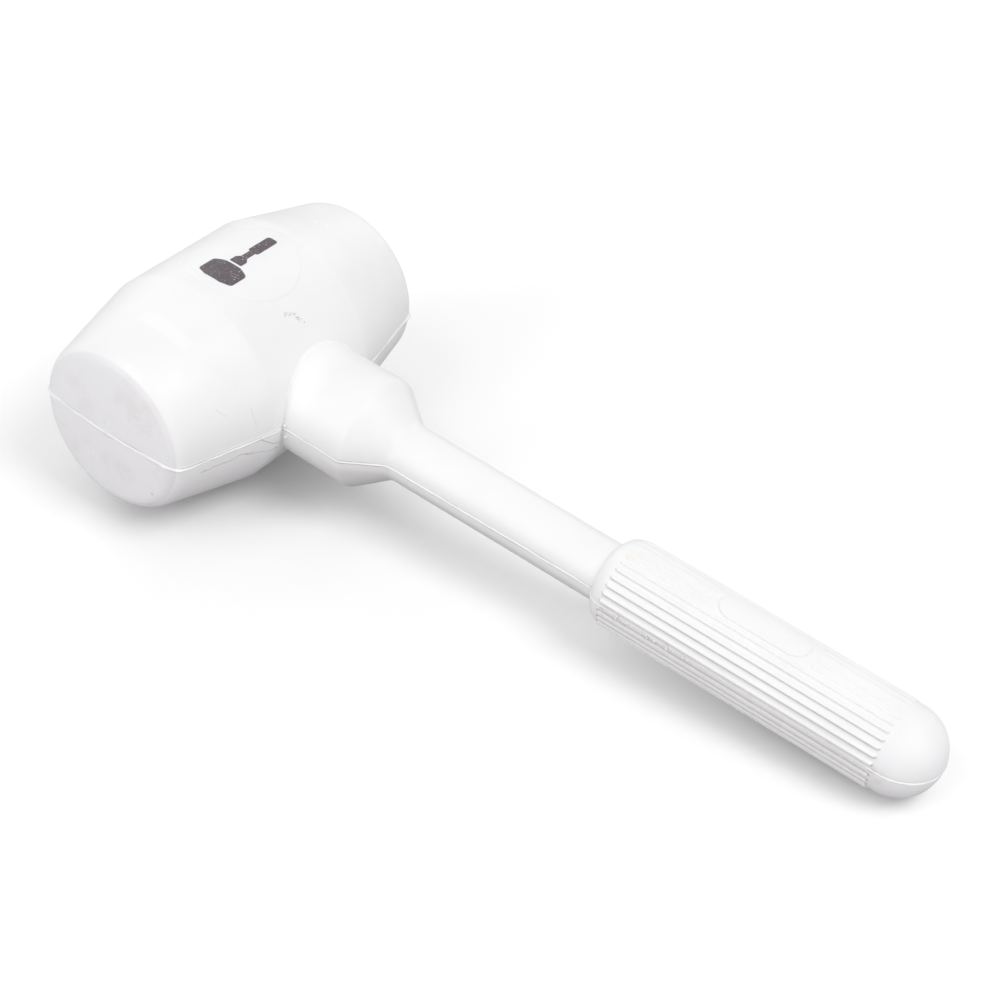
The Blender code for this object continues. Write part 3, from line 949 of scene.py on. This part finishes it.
def cloudy_rubber(make):
    """White rubber with faint clouds. Where it is worn matt it is greyer and cooler, partly worn and partly
    painted shade, mottled and warmer in patches.
    """
    base = make.mix(make.remap(make.noise(34, 4), 0.42, 0.70), RUBBER_CLEAN, RUBBER_CLOUDY)
    # The worn matt tones are greyer and cooler than clean rubber, partly as painted shade on the striking
    # faces.
    worn_and_shaded = make.mix(make.remap(make.noise(1600, 5, 0.75), 0.30, 0.72), RUBBER_WORN_AND_SHADED, RUBBER_WORN_AND_SHADED_FAIR)
    warm = product(make, make.remap(make.noise(80, 4, 0.6), 0.50, 0.70), 0.6)
    worn_and_shaded = make.mix(warm, worn_and_shaded, RUBBER_WARM)
    short_strokes = make.remap(make.noise(420, 3, 0.6, (1, 5, 1)), 0.60, 0.72)
    patches = make.remap(make.noise(55, 2), 0.50, 0.62)
    worn_and_shaded = make.mix(product(make, short_strokes, patches, 0.6), worn_and_shaded, RUBBER_CLEAN)
    return make.mix(make.attribute("matt"), base, worn_and_shaded)


def painted_crease_light(make):
    """1 where paler rubber is painted in as light against the shade: where neck and head meet, and opposite
    the neck on the barrel.
    """
    from_handle = make.from_axis(HEAD_AT, HANDLE_DIR)
    from_head = make.from_axis(HEAD_AT, HEAD_DIR)
    lower_half = make.remap(make.along(PART_UP, HEAD_AT), 14 * MM, 2 * MM)
    on_neck = product(make, make.remap(from_handle, NECK_R + 0.8 * MM, NECK_R + 0.3 * MM),
                      make.remap(from_head, HEAD_R + 13 * MM, HEAD_R + 1 * MM))
    on_head = product(make, make.remap(from_handle, NECK_R + 7 * MM, NECK_R + 0.8 * MM),
                      make.remap(from_head, HEAD_R + 4 * MM, HEAD_R + 1 * MM), lower_half, 0.6)
    return make.math("MAXIMUM", on_neck, on_head)


def pale_marks(make, base):
    """Painted light: paler rubber in line with the neck and a painted highlight streak across the near cone;
    then two pale smudges on the far cone.
    """
    # Painted light: paler rubber where neck and head meet, against the shade of the crease.
    base = make.mix(painted_crease_light(make), base, PAINTED_CREASE_LIGHT_TONE)
    # Painted highlight: a soft pale streak round the near cone, where a softbox is mirrored.
    streak_at = barrel_point(-40.5, 97)
    beside = make.math("ABSOLUTE", make.along(HEAD_DIR, streak_at), 0.0)
    within = make.remap(beside, 3.2 * MM, 1.6 * MM)
    base = make.mix(product(make, make.near(streak_at, 13 * MM, 6 * MM), within, 0.45), base, PAINTED_HIGHLIGHT_STREAK)
    for place, reach in ((barrel_point(39.3, 92), 5 * MM), (barrel_point(49.0, 72), 7 * MM)):
        mottle = make.remap(make.noise(700, 4, 0.65), 0.48, 0.62)
        base = make.mix(product(make, make.near(place, reach), mottle, 0.8), base, SMUDGE_PALE)
    return base


def specks(make, base):
    """Rare dark specks: a few plain ones and more fine faint ones."""
    for scale, share, size, strength in ((95, 0.80, 0.030, 1.0), (260, 0.86, 0.045, 0.45)):
        cells = make.cells(scale)
        inside = make.remap(cells.outputs["Distance"], size, 0.45 * size)
        chosen = make.remap(cells.outputs["Color"], share, share + 0.02)
        base = make.mix(product(make, inside, chosen, strength), base, SPECK_BROWN)
    return base


def dark_marks(make, base):
    """Flow lines under the parting line, short scratches above it and the scuff beside the print."""
    for start, stop, wander, width, strength in (
        (barrel_point(-52.5, 187), barrel_point(-30, 186.4), 5.0 * MM, 0.22 * MM, 0.75),
        (barrel_point(-36, 186), barrel_point(-19, 194), 3.0 * MM, 0.19 * MM, 0.65),
        (barrel_point(-30.5, 179), barrel_point(-19, 191), 2.0 * MM, 0.19 * MM, 0.65),
        (barrel_point(-43.2, 150), barrel_point(-40.2, 158), 3.0 * MM, 0.12 * MM, 0.30),
        (barrel_point(-32.1, 158), barrel_point(-30.4, 171), 2.4 * MM, 0.11 * MM, 0.30),
    ):
        line = product(make, make.hairline(start, stop, wander, width), strength)
        base = make.mix(line, base, FLOW_LINE_GREY)
    flecks = make.remap(make.noise(2100, 5, 0.75), 0.49, 0.56)
    patches = make.remap(make.noise(620, 2), 0.40, 0.54)
    for start, stop, width in (
        (barrel_point(-5.0, 127.4), barrel_point(0.4, 131.0), 1.3 * MM),
        (barrel_point(-1.6, 129.6), barrel_point(1.2, 136.5), 0.9 * MM),
    ):
        scuff = product(make, make.hairline(start, stop, 1.0 * MM, width), flecks, patches, 0.60)
        base = make.mix(scuff, base, SCUFF_BLACK)
    return base


def face_marks(make, base):
    """Marks of use on the near striking face: brown clouds and specks, pale strokes and a pale scratch."""
    for place, reach in ((face_point(-13.1, 13.4), 7.5 * MM), (face_point(-8.0, -11.7), 6.0 * MM)):
        mottle = make.remap(make.noise(260, 4, 0.65), 0.38, 0.66)
        base = make.mix(product(make, make.near(place, reach), mottle, 0.55), base, FACE_CLOUD_BROWN)
    fine_strokes = make.remap(make.noise(1500, 2, 0.5, (1, 1, 0.15)), 0.44, 0.60)
    strokes = product(make, make.near(face_point(7.4, -17.6), 8.5 * MM, 4 * MM), fine_strokes, 0.45)
    base = make.mix(strokes, base, FACE_STROKE_PALE)
    scratch = make.hairline(face_point(-16.4, -1.8), face_point(-20.6, -2.6), 0.3 * MM, 0.30 * MM, HEAD_DIR)
    base = make.mix(product(make, scratch, 0.7), base, FACE_SCRATCH_PALE)
    for place, reach in (
        (face_point(5.3, -13.2), 0.45 * MM),
        (face_point(1.0, 4.1), 0.36 * MM),
        (face_point(-19.3, -14.7), 0.95 * MM),
    ):
        base = make.mix(product(make, make.near(place, reach), 0.50), base, FACE_SPECK_BROWN)
    return base


def warm_stains(make, base):
    """Yellowed spots where the rubber ran thin: a rib's end, the dome's edge and the beads at the neck."""
    for place, reach, colour in (
        (handle_point(162.6 * MM, 103.6, GRIP_R), 1.9 * MM, RIB_YELLOW),
        (handle_point(164.4 * MM, 103.2, GRIP_R), 1.5 * MM, RIB_YELLOW_FAINT),
        (handle_point(261.0 * MM, 180, GRIP_R), 4.5 * MM, DOME_BROWN),
        (handle_point(38.5 * MM, 181, NECK_R), 1.6 * MM, BEAD_YELLOW),
    ):
        mottle = make.remap(make.noise(380, 3), 0.35, 0.65)
        base = make.mix(product(make, make.near(place, reach), mottle, 0.55), base, colour)
    return base


def rubber_material():
    """White rubber: its own tone, then stains, marks and painted light, then the soiling and painted shade
    that the skins carry.
    """
    make = Nodes("white_rubber")
    base = cloudy_rubber(make)
    for add_marks in (warm_stains, face_marks, pale_marks, specks, dark_marks):
        base = add_marks(make, base)
    # The skins' soiling and painted shade darken the rubber towards brown-grey.
    grime_and_shade = product(make, make.attribute("dirt_and_shade"), make.remap(make.noise(420, 3), 0.25, 0.6, 0.8, 1.0))
    base = make.mix(grime_and_shade, base, make.mix(make.remap(grime_and_shade, 0.15, 0.5), DIRT_SHADE_FAINT, DIRT_SHADE_STRONG))
    satin = make.remap(make.noise(90, 4), 0.3, 0.7, 0.40, 0.52)
    rough = make.math("ADD", satin, make.math("MULTIPLY", make.attribute("matt"), 0.2))
    grain = make.bump(make.noise(1900, 3, 0.6), 0.02 * MM, 0.25)
    peel = make.bump(make.noise(240, 3), 0.04 * MM, 0.4, grain)
    make.shader.inputs["Specular IOR Level"].default_value = 0.42
    make.shader.inputs["IOR"].default_value = 1.52
    return make.finish(base, rough, peel)


def ink_material():
    """Dark ink with clusters of worn dots and two short scratches."""
    make = Nodes("printed_ink")
    base = make.mix(make.remap(make.noise(900, 3), 0.35, 0.7), INK_DARK, INK_FADED)
    clusters = make.remap(make.noise(230, 2), 0.42, 0.62, 0.35, 1.0)
    dots = make.cells(1150)
    worn = product(make, make.remap(dots.outputs["Distance"], 0.36, 0.18),
                   make.remap(dots.outputs["Color"], 0.60, 0.66), clusters, 0.75)
    for start, stop in (
        (barrel_point(-9.6, 94.5), barrel_point(-8.2, 100)),
        (barrel_point(-8.4, 94.0), barrel_point(-7.2, 98.5)),
    ):
        scratch = product(make, make.hairline(start, stop, 0.1 * MM, 0.12 * MM), 0.45)
        worn = make.math("MAXIMUM", worn, scratch)
    base = make.mix(worn, base, INK_WORN)
    rough = make.remap(make.noise(600, 3), 0.3, 0.7, 0.45, 0.65)
    return make.finish(base, rough, make.bump(make.noise(1900, 3), 0.02 * MM, 0.5))


def steel_material():
    make = Nodes("zinc_steel")
    base = make.mix(make.remap(make.noise(70, 4), 0.35, 0.7), ZINC_BRIGHT, ZINC_DULL)
    make.shader.inputs["Metallic"].default_value = 1.0
    rough = make.remap(make.noise(500, 3), 0.3, 0.7, 0.28, 0.45)
    return make.finish(base, rough, make.bump(make.noise(900, 3), 0.01 * MM, 0.6))


def plastic_material():
    make = Nodes("black_plastic")
    base = make.mix(make.remap(make.noise(150, 3), 0.3, 0.7), PLASTIC_BLACK, PLASTIC_GREY)
    rough = make.remap(make.noise(400, 3), 0.3, 0.7, 0.42, 0.60)
    return make.finish(base, rough, make.bump(make.noise(1400, 3), 0.02 * MM, 0.5))


# Stage --------------------------------------------------------------------------------------------

AIM = Vector((0, 0.03, 0.03))
LIGHT_DISTANCE = 1.5
# Softboxes: bearing and height in degrees as seen from the mallet, power in watts and diameter in metres.
SOFTBOXES = (
    (-110, 25, 5.2, 0.8),
    (-110, 55, 2.4, 0.8),
    (-100, 5, 1.8, 0.6),
    (0, 5, 3.0, 0.6),
    (0, 55, 7.7, 0.8),
    (100, 30, 2.7, 0.8),
    (150, 30, 2.9, 0.8),
)
# The world's glow, low and high, and the heights between which it fades, as shares of a unit direction.
GLOW_LOW = 1.27
GLOW_HIGH = 0.53
GLOW_FADE_START = 0.13
GLOW_FADE_STOP = 0.21
# Floor, card and backdrop, in metres. The world lights the far floor to about FAR_FLOOR_GLOW of white. The
# floor's own glow makes up the rest and fades in between the two distances.
SHEET_R = 6.0
CARD_DEPTH = 0.2 * MM
BACKDROP_R = 5.8
BACKDROP_GLOW = 0.92
FAR_FLOOR_GLOW = 0.55
FADE_START = 0.4
FADE_STOP = 2.4


def bearing(azimuth, elevation):
    """The direction from the mallet towards a light or a camera."""
    turn = math.radians(azimuth)
    rise = math.radians(elevation)
    return Vector((math.sin(turn) * math.cos(rise), -math.cos(turn) * math.cos(rise), math.sin(rise)))


def paper(name, tone):
    """The nodes of matt paper that is a little lighter in patches."""
    make = Nodes(name)
    lighter = tuple(min(1.03 * c, 1) for c in tone)
    base = make.mix(make.remap(make.noise(3, 2), 0.3, 0.7), tone, lighter)
    rough = make.remap(make.noise(40, 2), 0.3, 0.7, 0.80, 0.90)
    make.shader.inputs["Specular IOR Level"].default_value = 0.1
    make.finish(base, rough)
    return make


def make_sheet(make, height):
    bpy.ops.mesh.primitive_circle_add(vertices=96, radius=SHEET_R, fill_type="NGON", location=(0, 0, height))
    sheet = bpy.context.object
    sheet.name = make.material.name
    sheet.data.materials.append(make.material)
    return sheet


def seen_by_camera_only(obj):
    obj.visible_diffuse = False
    obj.visible_glossy = False
    obj.visible_shadow = False
    obj.data.materials[0].cycles.emission_sampling = "NONE"


def make_floor():
    """A white floor. Its far part glows faintly, so that it meets the backdrop without a hard line."""
    make = paper("studio_floor", PAPER_WHITE)
    distance = make.distance(Vector((0, 0, 0)))
    glow = make.remap(distance, FADE_START, FADE_STOP, 0.0, BACKDROP_GLOW - FAR_FLOOR_GLOW)
    make.shader.inputs["Emission Color"].default_value = (1, 1, 1, 1)
    make.link(glow, make.shader.inputs["Emission Strength"])
    seen_by_camera_only(make_sheet(make, 0))


def make_card():
    """A grey card under the floor. It alone is mirrored in the rubber and sends light up to the underside."""
    card = make_sheet(paper("bounce_card", CARD_GREY), -CARD_DEPTH)
    card.visible_camera = False


def make_backdrop():
    """A pale dome over the floor, for low views."""
    bpy.ops.mesh.primitive_uv_sphere_add(segments=64, ring_count=32, radius=BACKDROP_R)
    dome = bpy.context.object
    dome.name = "backdrop"
    make = Nodes("backdrop")
    make.shader.inputs["Base Color"].default_value = (0, 0, 0, 1)
    make.shader.inputs["Specular IOR Level"].default_value = 0
    make.shader.inputs["Emission Color"].default_value = (1, 1, 1, 1)
    make.shader.inputs["Emission Strength"].default_value = BACKDROP_GLOW
    dome.data.materials.append(make.material)
    seen_by_camera_only(dome)


def make_lights():
    """Round softboxes at one distance from the mallet, all turned towards it."""
    for azimuth, elevation, power, size in SOFTBOXES:
        data = bpy.data.lights.new(f"softbox_{azimuth}_{elevation}", "AREA")
        data.shape = "DISK"
        data.size = size
        data.energy = power
        made = bpy.data.objects.new(data.name, data)
        bpy.context.scene.collection.objects.link(made)
        made.location = AIM + bearing(azimuth, elevation) * LIGHT_DISTANCE
        made.rotation_euler = bearing(azimuth, elevation).to_track_quat("Z", "Y").to_euler()
        made.visible_camera = False


def make_world():
    """A white glow that is strong up to a little above the horizon and weaker overhead."""
    world = bpy.data.worlds.new("studio")
    bpy.context.scene.world = world
    world.use_nodes = True
    tree = world.node_tree
    direction = tree.nodes.new("ShaderNodeTexCoord").outputs["Generated"]
    split = tree.nodes.new("ShaderNodeSeparateXYZ")
    tree.links.new(direction, split.inputs[0])
    fade = tree.nodes.new("ShaderNodeMapRange")
    fade.inputs["From Min"].default_value = GLOW_FADE_START
    fade.inputs["From Max"].default_value = GLOW_FADE_STOP
    fade.inputs["To Min"].default_value = GLOW_LOW
    fade.inputs["To Max"].default_value = GLOW_HIGH
    tree.links.new(split.outputs["Z"], fade.inputs["Value"])
    tree.links.new(fade.outputs["Result"], tree.nodes["Background"].inputs["Strength"])
    tree.nodes["Background"].inputs["Color"].default_value = (1, 1, 1, 1)


# The camera stands where the photo was taken from and aims close to the middle of the CAD box.
CAMERA_AZIMUTH = -56.57
CAMERA_ELEVATION = 38.88
CAMERA_ROLL = math.radians(4.53)
CAMERA_DISTANCE = 0.6997
CAMERA_LENS = 79.45
SENSOR_WIDTH = 36.0
AIM_OFFSET = Vector((-4.4, 3.3, -2.3)) * MM


def make_camera():
    data = bpy.data.cameras.new("camera")
    data.lens = CAMERA_LENS
    data.sensor_width = SENSOR_WIDTH
    data.clip_start = 0.01
    camera = bpy.data.objects.new("camera", data)
    bpy.context.scene.collection.objects.link(camera)
    back = bearing(CAMERA_AZIMUTH, CAMERA_ELEVATION)
    aim = (CAD_LOW + CAD_HIGH) / 2 + AIM_OFFSET
    turned = back.to_track_quat("Z", "Y").to_matrix().to_4x4()
    roll = Matrix.Rotation(CAMERA_ROLL, 4, "Z")
    camera.matrix_world = Matrix.Translation(aim + back * CAMERA_DISTANCE) @ turned @ roll
    bpy.context.scene.camera = camera


# Assembly -----------------------------------------------------------------------------------------

RIBS = rib_list()
RUBBER = rubber_material()
INK = ink_material()
STEEL = steel_material()
PLASTIC = plastic_material()

for piece, node, mat, slot in (
    (make_head(), "head", RUBBER, "white_rubber"),
    (make_sleeve(), "handle_sleeve", RUBBER, "white_rubber"),
    (make_grip(), "grip", RUBBER, "white_rubber"),
    (make_emblem(), "emblem", INK, "printed_ink"),
    (make_crumbs(), None, RUBBER, "white_rubber"),
):
    piece.data.materials.append(mat)
    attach(piece, "root")
    if node is not None:
        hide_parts(node)

for part in frame["record"]["subparts"]:
    finish = {"zinc_steel": STEEL, "black_plastic": PLASTIC}.get(part["material_slot"])
    if finish is not None:
        mesh = frame["nodes"][part["node"]].data
        mesh.materials.clear()
        mesh.materials.append(finish)

make_floor()
make_card()
make_backdrop()
make_world()
make_lights()
make_camera()
bpy.context.scene.view_settings.view_transform = "Standard"
